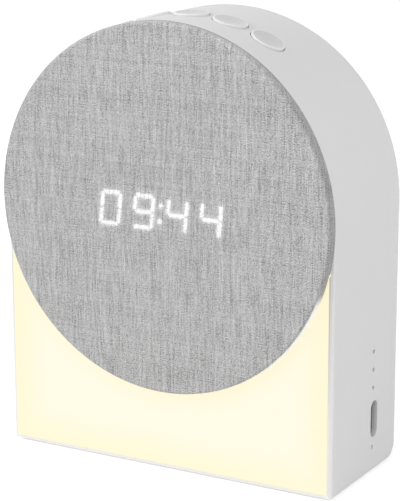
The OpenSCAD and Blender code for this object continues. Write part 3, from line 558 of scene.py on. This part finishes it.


# Housing: white moulding, with a painted glow on its thin rim where it borders the lamp

shell = {
    "color": (0.775, 0.775, 0.775),
    "rough": 0.5,
    "shade": 0.01,
    # Painted glow on the rim near the lamp: its colour, strength and reach
    "paintedSpillColor": (1.0, 0.985, 0.95),
    "paintedSpill": 0.18,
    "paintedSpillWidth": 1.4,
    "paintedSpillBelow": 0.3,              # share of the distance that counts below the lamp
    "slotShade": 0.72,
    "slotDepth": (0.1, 0.6),        # under the outer face, where the shade begins and is full
    "slotReachY": 3.0,
    "slotReachZ": 6.0,
}


def housingPlastic(name, settings):
    material = mouldedPlastic(name, settings["color"], rough=settings["rough"], shade=settings["shade"])
    tree, shader, base = reopen(material)
    x, y, z = splitPoint(tree, objectPoint(tree))
    # Painted glow on the rim, standing in for the lamp's light that leaks into it: it falls off with the
    # distance from the lamp, in the front view and in depth, and reaches further below it, where its LEDs
    # are near
    beside = minus(tree, absolute(tree, x), lampHigh.x/mm)
    below = times(tree, minus(tree, lampLow.z/mm, z), settings["paintedSpillBelow"])
    above = minus(tree, z, lampHigh.z/mm)
    off = larger(tree, larger(tree, beside, below), above)
    flat = remap(tree, off, 0.0, settings["paintedSpillWidth"], 1.0, 0.0)
    deep = remap(tree, minus(tree, y, shellLow.y/mm), 0.0, settings["paintedSpillWidth"], 1.0, 0.0)
    paintedGlow = times(tree, times(tree, flat, deep), settings["paintedSpill"])
    strength = lampStrength(tree, z)
    # Painted shade darkens the walls of the charging slot
    sunk = remap(tree, minus(tree, shellHigh.x/mm, x), *settings["slotDepth"])
    inward = times(tree, calc(tree, "GREATER_THAN", x, slotLow.x/mm), sunk)
    offY = absolute(tree, minus(tree, y, (slotLow.y + slotHigh.y)/2/mm))
    offZ = absolute(tree, minus(tree, z, (slotLow.z + slotHigh.z)/2/mm))
    slot = times(tree, calc(tree, "LESS_THAN", offY, settings["slotReachY"]), calc(
        tree, "LESS_THAN", offZ, settings["slotReachZ"]))
    shade = remap(tree, times(tree, inward, slot), 0.0, 1.0, 1.0, settings["slotShade"])
    feedAll(tree, shader, {
        "Base Color": mixColors(tree, 1.0, base, shade, blend="MULTIPLY"),
        "Emission Color": settings["paintedSpillColor"],
        # Painted glow: emission on the rim, strongest near the lamp's foot
        "Emission Strength": times(tree, paintedGlow, times(tree, strength, strength)),
    })
    return material


# Buttons: the same white, the dish darker, partly its own tone and partly painted shade, and the lip lighter
# with a painted highlight

keys = {
    "shadedDishColor": (0.64, 0.64, 0.64),
    "highlightLipColor": (0.82, 0.82, 0.82),
    "lip": (3.7, 3.95),             # off the button's axis, where the dish ends and the lip begins
    "rough": 0.3,
    "grain": 0.25,
    "shade": 0.01,
}


def buttonPlastic(name, settings):
    material = mouldedPlastic(name, settings["shadedDishColor"], rough=settings["rough"],
                              grain=settings["grain"], shade=settings["shade"])
    tree, shader, base = reopen(material)
    # Angle between two buttons: the axis of the middle one stands upright, that of the next leans by it
    joints = {joint["name"]: joint for joint in frame["record"]["behaviour"]["joints"]}
    out = -Vector(joints["right_button_press"]["axis"])
    step = math.atan2(out.x, out.z)
    # Distance from the axis of the nearest button: hypot(arc from it, depth from the row)
    x, y, z = splitPoint(tree, objectPoint(tree, (0, (keyLow.y + keyHigh.y)/2, discCentre.z)))
    angle = calc(tree, "PINGPONG", absolute(tree, calc(tree, "ARCTAN2", x, z)), step/2)
    arc = times(tree, angle, keyHigh.z/mm - discCentre.z/mm)
    lip = remap(tree, hypot(tree, arc, y), *settings["lip"])
    # Painted highlight: the lip and side wall get a lighter colour than the dish
    feed(tree, shader.inputs["Base Color"], mixColors(tree, lip, base, settings["highlightLipColor"]))
    return material


# Time that shines through the cloth: four leaning digits of seven segments, and two dots

display = {
    "time": "0944",
    "digitPitch": 9.15,
    "digitWidth": 6.0,
    "digitHeight": 8.7,
    "rowRise": 0.22,
    "segmentWidth": 1.04,
    "segmentGap": 0.34,
    "lean": math.radians(5.5),
    "colonRise": 1.9,
    "colonRadius": 0.62,
    "softness": 1.1,                # width of the outline
    "fray": 0.4,
    "fraySize": 0.4,
    "halo": 0.1,
    "haloWidth": 1.6,
    "faceDepth": (0.3, 0.2),        # behind the cloth's face, where the light ends and is full
    "unlit": -9.0,                  # depth to start from, far outside every stroke
    "color": (1.0, 1.0, 1.0),
    "glow": 0.46,
    "threadGlow": 0.25,             # added on a thread of tone 1
}

# Column and row of each segment, counted from the centre of its digit, and whether it stands upright
segmentPlaces = {
    "top": (0, 1, False),
    "middle": (0, 0, False),
    "bottom": (0, -1, False),
    "upperLeft": (-1, 0.5, True),
    "upperRight": (1, 0.5, True),
    "lowerLeft": (-1, -0.5, True),
    "lowerRight": (1, -0.5, True),
}
litSegments = {
    "0": ["bottom", "lowerLeft", "lowerRight", "top", "upperLeft", "upperRight"],
    "4": ["lowerRight", "middle", "upperLeft", "upperRight"],
    "9": ["bottom", "lowerRight", "middle", "top", "upperLeft", "upperRight"],
}


def segmentDepth(tree, u, z, place, settings):
    # How deep a point lies inside a segment with round ends, in millimetres: half the segment's width
    # less hypot(way past the end of its middle line, way off that line)
    column, row, standing = place
    w = settings["digitWidth"] - settings["segmentWidth"]
    h = (settings["digitHeight"] - settings["segmentWidth"])/2
    reach = (h if standing else w)/2 - settings["segmentGap"] - settings["segmentWidth"]/4
    du = absolute(tree, minus(tree, u, column*w/2))
    dz = absolute(tree, minus(tree, z, row*h))
    run, off = (dz, du) if standing else (du, dz)
    past = larger(tree, minus(tree, run, reach), 0.0)
    return minus(tree, settings["segmentWidth"]/2, hypot(tree, past, off))


def shiningTime(tree, settings):
    # Share of light at each point of the cloth: full inside the strokes, soft at their outline, with a
    # faint halo round them, and none behind the cloth's face
    point = objectPoint(tree, displayCentre)
    x, y, high = splitPoint(tree, point)
    z = minus(tree, high, settings["rowRise"])
    u = minus(tree, x, times(tree, z, math.tan(settings["lean"])))
    depth = settings["unlit"]
    middle = (len(settings["time"]) - 1)/2
    for place, digit in enumerate(settings["time"]):
        across = minus(tree, u, (place - middle)*settings["digitPitch"])
        for name in litSegments[digit]:
            depth = larger(tree, segmentDepth(tree, across, z, segmentPlaces[name], settings), depth)
    for side in (-1, 1):
        far = hypot(tree, u, minus(tree, z, side*settings["colonRise"]))
        depth = larger(tree, minus(tree, settings["colonRadius"], far), depth)
    # Threads fray the outline of the strokes
    fray = swung(tree, noise(tree, point, settings["fraySize"]), 2*settings["fray"])
    soft = settings["softness"]
    core = remap(tree, plus(tree, depth, fray), -soft/2, soft/2, smooth=True)
    halo = times(tree, remap(tree, depth, -settings["haloWidth"], 0.0, smooth=True), settings["halo"])
    face = clothLow.y/mm - displayCentre.y/mm
    front = remap(tree, y, *(face + edge for edge in settings["faceDepth"]))
    return times(tree, larger(tree, core, halo), front)


# Grille cloth: linen weave drawn over the disc

cloth = {
    "thickness": 0.4*mm,
    "edgeRound": 0.8*mm,
    "hem": 4.0*mm,
    "slack": 0.2*mm,
    "rings": 64,
    "lastRing": 0.1*mm,             # between the last two rings of the face
    "roundSteps": 8,
    "bandSteps": 5,
    "hemSteps": 4,
    "sides": 288,
    "pitch": 0.3,
    "crossing": (-0.25, 0.25),      # values of the waves between which warp and weft change places
    "bend": 0.3,                    # how far the threads wander
    "bendSize": 6.0,
    "warp": {"seed": 3.7, "slub": 7.5, "own": 0.13, "swing": 1.25},
    "weft": {"seed": 11.9, "slub": 0.6, "own": 0.16, "swing": 0.9},
    "slubStride": 7.31,             # keeps the slubs of one thread apart from those of the next
    "slubDetail": 3.0,
    "slubRaggedness": 0.6,
    "mottle": 0.86,
    "mottleSize": 0.32,
    "mottleDetail": 1.0,
    "darkThread": (0.24, 0.24, 0.243),
    "darkTone": 0.22,
    "meanThread": (0.557, 0.557, 0.56),
    "meanTone": 0.5,
    "lightThread": (0.80, 0.80, 0.80),
    "lightTone": 0.86,
    "hollow": 0.7,                  # height under which the gaps between threads grow darker
    "hollowShade": 0.8,
    "threadDepth": 0.09,
    "rough": 0.9,
    "sheen": 0.25,
    "sheenRough": 0.5,
    # Painted shade on the disc's edge and at the seam, painted light on the edge's top
    "edgeShade": 0.8,
    "topShade": 1.15,
    "topSlope": (-0.9, -0.55),      # slopes between which the top's tone fades into the edge's
    "seamShade": 0.5,
    "seamWidth": (0.7, 0.2),        # off the housing, where the seam's shade begins and is full
    "lampLight": 0.62,
    "lampColor": (1.0, 0.98, 0.9),
    "lampSlope": (0.32, 0.42),      # slopes between which the lamp's light sets in
    "lampReach": (0.5, 0.95),       # past the flat face, where it sets in
}


def addObject(name, data):
    made = bpy.data.objects.new(name, data)
    bpy.context.scene.collection.objects.link(made)
    return made


def evenSteps(end, count):
    # Even steps up to end, without the start at nothing
    return np.linspace(0, end, count + 1)[1:]


def discProfile(radius, proud, settings):
    # Cloth section from the middle outwards: flat face, quarter round, side band, hem turned under.
    # Returns radius, depth and distance along the cloth for each ring
    edge = settings["edgeRound"]
    faceR = radius - edge
    turn = evenSteps(math.pi/2, settings["roundSteps"])
    band = evenSteps(proud - edge, settings["bandSteps"])
    hem = evenSteps(settings["hem"], settings["hemSteps"])
    # The last two rings of the face lie close together, so that its shading stays flat up to the round
    face = np.append(np.linspace(0, faceR - settings["lastRing"], settings["rings"]), faceR)
    r = np.concatenate([face, faceR + edge*np.sin(turn), np.full(len(band), radius), radius - hem])
    y = np.concatenate([np.zeros(len(face)), edge*(1 - np.cos(turn)), edge + band, np.full(len(hem), proud)])
    along = np.concatenate([[0], np.cumsum(np.hypot(np.diff(r), np.diff(y)))])
    return r, y, along


def turnedSheet(name, r, y, along, centre, sides):
    # Surface of revolution about the Y axis through centre: (r cos a, y, r sin a), its first ring
    # closed to one point, with the flat cloth's own coordinates (along cos a, along sin a) as UV in mm
    angle = np.arange(sides)*2*math.pi/sides
    rings = len(r) - 1
    x = np.outer(r[1:], np.cos(angle)).ravel()
    z = np.outer(r[1:], np.sin(angle)).ravel()
    depth = np.repeat(y[1:], sides)
    points = np.vstack([[[0, y[0], 0]], np.column_stack([x, depth, z])]) + np.array(centre)
    flat = np.vstack([[[0, 0]], np.column_stack([
        np.outer(along[1:], np.cos(angle)).ravel(), np.outer(along[1:], np.sin(angle)).ravel()])])/mm
    here = np.arange(sides)
    there = (here + 1) % sides
    fan = np.column_stack([np.zeros(sides, int), 1 + here, 1 + there])
    start = 1 + np.arange(rings - 1)[:, None]*sides
    quads = np.stack([start + here, start + sides + here, start + sides + there, start + there], axis=-1)
    mesh = bpy.data.meshes.new(name)
    mesh.from_pydata(points.tolist(), [], fan.tolist() + quads.reshape(-1, 4).tolist())
    layer = mesh.uv_layers.new(name="cloth")
    corner = np.zeros(len(mesh.loops), np.int32)
    mesh.loops.foreach_get("vertex_index", corner)
    layer.data.foreach_set("uv", flat[corner].astype(np.float32).ravel())
    mesh.polygons.foreach_set("use_smooth", np.ones(len(mesh.polygons), bool))
    mesh.update()
    return addObject(name, mesh)


def threadShade(tree, across, along, thread, settings):
    # Each thread has its own tone, which drifts along its length in slubs:
    # 0.5 + own (random of the thread - 0.5) + swing (noise along it - 0.5)
    index = calc(tree, "FLOOR", calc(tree, "DIVIDE", across, settings["pitch"]))
    lot = addNode(tree, "ShaderNodeTexWhiteNoise", noise_dimensions="2D")
    feed(tree, lot.inputs["Vector"], joinPoint(tree, index, thread["seed"]))
    row = plus(tree, times(tree, index, settings["slubStride"]), thread["seed"])
    slubs = noise(tree, joinPoint(tree, row, calc(tree, "DIVIDE", along, thread["slub"])), 1.0,
                  detail=settings["slubDetail"], roughness=settings["slubRaggedness"], dimensions="2D")
    kept = swung(tree, lot.outputs["Value"], thread["own"])
    return plus(tree, plus(tree, kept, swung(tree, slubs, thread["swing"])), 0.5)


def threadRise(tree, across, pitch):
    # Half a wave over each thread: sin(pi fraction(across/pitch))
    share = calc(tree, "FRACT", calc(tree, "DIVIDE", across, pitch))
    return calc(tree, "SINE", times(tree, share, math.pi))


def plainWeave(tree, flat, settings):
    # Tone and height of warp threads that run up and down and weft threads across, each over and under
    # the next. Warp is on top where sin(pi u/pitch) sin(pi v/pitch) is positive
    pitch = settings["pitch"]
    u, v, _ = splitPoint(tree, flat)
    bend = swung(tree, noise(tree, flat, settings["bendSize"]), settings["bend"])
    u = plus(tree, u, bend)
    v = plus(tree, v, bend)
    waves = times(tree, calc(tree, "SINE", times(tree, u, math.pi/pitch)), calc(
        tree, "SINE", times(tree, v, math.pi/pitch)))
    warpTop = remap(tree, waves, *settings["crossing"])

    def onTop(warp, weft):
        return plus(tree, times(tree, warp, warpTop), times(tree, weft, minus(tree, 1.0, warpTop)))

    tone = onTop(threadShade(tree, u, v, settings["warp"], settings),
                 threadShade(tree, v, u, settings["weft"], settings))
    cloud = noise(tree, flat, settings["mottleSize"], detail=settings["mottleDetail"])
    height = onTop(threadRise(tree, u, pitch), threadRise(tree, v, pitch))
    return plus(tree, tone, swung(tree, cloud, settings["mottle"])), height


def threadColor(tree, tone, settings):
    # Dark, mean and light thread at their tones, blended evenly between them
    ramp = addNode(tree, "ShaderNodeValToRGB")
    feed(tree, ramp.inputs[0], tone)
    stops = ramp.color_ramp.elements
    stops[0].position, stops[0].color = settings["darkTone"], (*settings["darkThread"], 1)
    stops[1].position, stops[1].color = settings["lightTone"], (*settings["lightThread"], 1)
    stops.new(settings["meanTone"]).color = (*settings["meanThread"], 1)
    return ramp.outputs[0]


def linenCloth(name, settings, clock):
    material, tree, shader = newMaterial(name)
    flat = addNode(tree, "ShaderNodeUVMap", uv_map="cloth").outputs[0]
    tone, height = plainWeave(tree, flat, settings)
    # Painted shade darkens the gaps between the threads
    hollow = remap(tree, height, 0.0, settings["hollow"], settings["hollowShade"], 1.0)
    # Reach from the middle along the cloth, and slope of the disc's edge: -1 at its top, 1 at its foot
    u, v, _ = splitPoint(tree, flat)
    reach = hypot(tree, u, v)
    flatR = (discRadius + settings["slack"] - settings["edgeRound"])/mm
    _, y, z = splitPoint(tree, objectPoint(tree, discCentre))
    slope = calc(tree, "DIVIDE", z, -discRadius/mm)
    # Darker where the cloth is drawn round the edge of the disc, partly its own tone and partly painted
    # shade; painted light makes its top, which faces the light, lighter, down to a seam at the housing
    # darkened by painted shade
    top = remap(tree, slope, *settings["topSlope"], 1.0, 0.0)
    edgeTone = mixNumber(tree, top, settings["edgeShade"], settings["topShade"])
    seamTone = mixNumber(tree, top, 1.0, settings["seamShade"])
    back = (clothHigh.y - clothLow.y)/mm
    drawn = times(tree, remap(tree, reach, flatR, flatR + settings["edgeRound"]/mm, 1.0, edgeTone), remap(
        tree, y, *(back - width for width in settings["seamWidth"]), 1.0, seamTone))
    # Painted light of the lamp on the lower part of the disc's edge, by the slope of that edge
    lit = times(tree, remap(tree, slope, *settings["lampSlope"], smooth=True), remap(
        tree, reach, *(flatR + way for way in settings["lampReach"])))
    shine = times(tree, shiningTime(tree, clock), plus(
        tree, times(tree, tone, clock["threadGlow"]), clock["glow"]))
    feedAll(tree, shader, {
        "Base Color": mixColors(tree, 1.0, threadColor(tree, tone, settings), times(tree, hollow, drawn),
                                blend="MULTIPLY"),
        "Roughness": settings["rough"],
        "Sheen Weight": settings["sheen"],
        "Sheen Roughness": settings["sheenRough"],
        "Emission Color": mixColors(tree, lit, clock["color"], settings["lampColor"]),
        "Emission Strength": plus(tree, shine, times(tree, lit, settings["lampLight"])),
        "Normal": relief(tree, height, settings["threadDepth"]),
    })
    return material


def makeCloth(settings, clock):
    # The cloth lies a little off the disc in front and round its edge
    slack = settings["slack"]
    r, y, along = discProfile(discRadius + slack, clothHigh.y - clothLow.y + slack, settings)
    centre = discCentre - Vector((0, slack, 0))
    piece = turnedSheet("grilleClothWeave", r, y, along, centre, settings["sides"])
    wall = piece.modifiers.new("clothThickness", "SOLIDIFY")
    wall.thickness = settings["thickness"]
    wall.offset = -1.0
    piece.data.materials.append(linenCloth("linenCloth", settings, clock))
    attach(piece, "clock")
    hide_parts("grille_cloth")


# Finish of each material slot of the record

finishes = {
    "shell_white": housingPlastic("shellWhite", shell),
    "button_white": buttonPlastic("buttonWhite", keys),
    "grille_plastic": mouldedPlastic("grillePlastic", (0.06, 0.06, 0.065)),
    "chassis_plastic": mouldedPlastic("chassisPlastic", (0.62, 0.62, 0.61)),
    "opal": litDiffuser("litDiffuser", lamp),
    "reflector_white": mouldedPlastic("reflectorWhite", (0.87, 0.87, 0.86), rough=0.25),
    "board_green": circuitBoard("greenBoard", (0.012, 0.09, 0.04), (0.03, 0.18, 0.08)),
    "board_white": circuitBoard("whiteBoard", (0.78, 0.78, 0.75), (0.70, 0.70, 0.66), pitch=2.4),
    "led_warm": phosphorLamp("warmLed", (1.0, 0.86, 0.5), 2.0, phosphor),
    "led_white": phosphorLamp("whiteLed", (1.0, 0.98, 0.94), 1.5, phosphor),
    "black_plastic": mouldedPlastic("blackPlastic", (0.07, 0.07, 0.073), rough=0.42),
    "film_smoke": tintedClear("smokeFilm", (0.12, 0.12, 0.12), clearPlastic),
    "steel": brushedMetal("zincSteel", (0.86, 0.86, 0.85)),
    "magnet_dark": mouldedPlastic("sinteredMagnet", (0.04, 0.04, 0.042), rough=0.6, grainDepth=0.02),
    "cone_paper": pulpPaper("conePaper", coneFibre),
    "surround_rubber": softRubber("rollRubber", (0.018, 0.018, 0.018), rough=0.6),
    "spider_cloth": openWeave("dippedCloth", spiderCloth),
    "coil_copper": woundCopper("coilCopper", coilWire),
    "gasket_foam": softRubber("gasketFoam", (0.02, 0.02, 0.02), rough=0.95, grain=0.6),
    "connector_ivory": mouldedPlastic("ivoryConnector", (0.72, 0.68, 0.52), rough=0.4),
    "capacitor_sleeve": brushedMetal("capacitorCan", (0.5, 0.51, 0.53), rough=0.28),
    "pipe_clear": tintedClear("lightPipe", (0.2, 0.2, 0.2), clearPlastic),
    "flex_amber": circuitBoard("amberFlex", (0.55, 0.2, 0.015), (0.7, 0.32, 0.05), pitch=1.2),
    "cell_silver": foilPouch("cellPouch", cellFoil),
    "foot_rubber": softRubber("footRubber", (0.1, 0.1, 0.1)),
}

slotOf = {part["node"]: part["material_slot"] for part in frame["record"]["subparts"]}
for name, cadObject in frame["nodes"].items():
    if slotOf[name] in finishes:
        cadObject.data.materials.clear()
        cadObject.data.materials.append(finishes[slotOf[name]])
print("Finishes set on the frame")

makeCloth(cloth, display)
print("Cloth made")


# Studio: pale floor, white surroundings, one large soft key from the upper left and a weaker fill

studio = {
    "floorHalf": 6.0,
    "floorColor": (0.80, 0.80, 0.80),
    "floorRough": 0.9,
    "floorSpecular": 0.1,
    "lift": (0.49, 0.57),
    "liftReach": (0.3, 2.0),
    "white": (1.0, 1.0, 1.0),
    "worldStrength": 0.55,
    "key": {"place": (-1.05, -0.8, 0.72), "size": 0.9, "power": 10.5},
    "fill": {"place": (0.9, -0.6, 0.75), "size": 0.8, "power": 4.6},
}


def seenDirectly(tree):
    # 1 for camera, glossy and transmission rays
    path = addNode(tree, "ShaderNodeLightPath").outputs
    seen = larger(tree, path["Is Camera Ray"], path["Is Glossy Ray"])
    return larger(tree, seen, path["Is Transmission Ray"])


def makeFloor(settings):
    # Square about the clock, from minus to plus half its side in X and Y
    mesh = bpy.data.meshes.new("studioFloor")
    half = settings["floorHalf"]
    corners = [(-half, -half, 0), (half, -half, 0), (half, half, 0), (-half, half, 0)]
    mesh.from_pydata(corners, [], [(0, 1, 2, 3)])
    floor = addObject("studioFloor", mesh)
    material, tree, shader = newMaterial("paleFloor")
    # The lamps reach less far than the floor, so its own light grows with the distance from the clock
    x, y, _ = splitPoint(tree, objectPoint(tree, scale=1.0))
    lift = remap(tree, hypot(tree, x, y), *settings["liftReach"], *settings["lift"])
    feedAll(tree, shader, {
        "Base Color": settings["floorColor"],
        "Roughness": settings["floorRough"],
        "Specular IOR Level": settings["floorSpecular"],
        "Emission Color": settings["white"],
        "Emission Strength": times(tree, seenDirectly(tree), lift),
    })
    mesh.materials.append(material)


def makeWorld(settings):
    world = bpy.data.worlds.new("studioWorld")
    world.use_nodes = True
    bpy.context.scene.world = world
    tree = world.node_tree
    strength = mixNumber(tree, seenDirectly(tree), settings["worldStrength"], 1.0)
    feedAll(tree, tree.nodes["Background"], {"Color": settings["white"], "Strength": strength})


def areaLight(name, settings, aim):
    data = bpy.data.lights.new(name, "AREA")
    data.shape = "DISK"
    data.size = settings["size"]
    data.energy = settings["power"]
    light = addObject(name, data)
    light.location = settings["place"]
    way = Vector(aim) - Vector(settings["place"])
    light.rotation_euler = way.to_track_quat("-Z", "Y").to_euler()


# Camera at the photograph's viewing angle

photoCamera = {
    "azimuth": math.radians(29.86),
    "elevation": math.radians(14.37),
    "roll": math.radians(-0.15),
    "distance": 0.4878,
    "target": (-0.0027, 0.00125, 0.0503),
    "lens": 140.66,
    "sensor": 36,
    "nearest": 0.01,
}


def makeCamera(settings):
    # Looks at the target from azimuth and elevation, its right and up turned by roll about that view:
    # right cos roll + up sin roll, up cos roll - right sin roll
    turn, rise, roll = settings["azimuth"], settings["elevation"], settings["roll"]
    forward = Vector((-math.sin(turn)*math.cos(rise), math.cos(turn)*math.cos(rise), -math.sin(rise)))
    right = Vector((math.cos(turn), math.sin(turn), 0))
    up = right.cross(forward)
    rightTilted = right*math.cos(roll) + up*math.sin(roll)
    upTilted = up*math.cos(roll) - right*math.sin(roll)
    data = bpy.data.cameras.new("photoCamera")
    data.lens = settings["lens"]
    data.sensor_width = settings["sensor"]
    data.clip_start = settings["nearest"]
    camera = addObject("photoCamera", data)
    place = Vector(settings["target"]) - forward*settings["distance"]
    spin = Matrix((rightTilted, upTilted, -forward)).transposed().to_4x4()
    camera.matrix_world = Matrix.Translation(place) @ spin
    bpy.context.scene.camera = camera


makeFloor(studio)
makeWorld(studio)
areaLight("keyLight", studio["key"], discCentre)
areaLight("fillLight", studio["fill"], discCentre)
makeCamera(photoCamera)
bpy.context.scene.view_settings.view_transform = "Standard"
print("Studio and camera set")
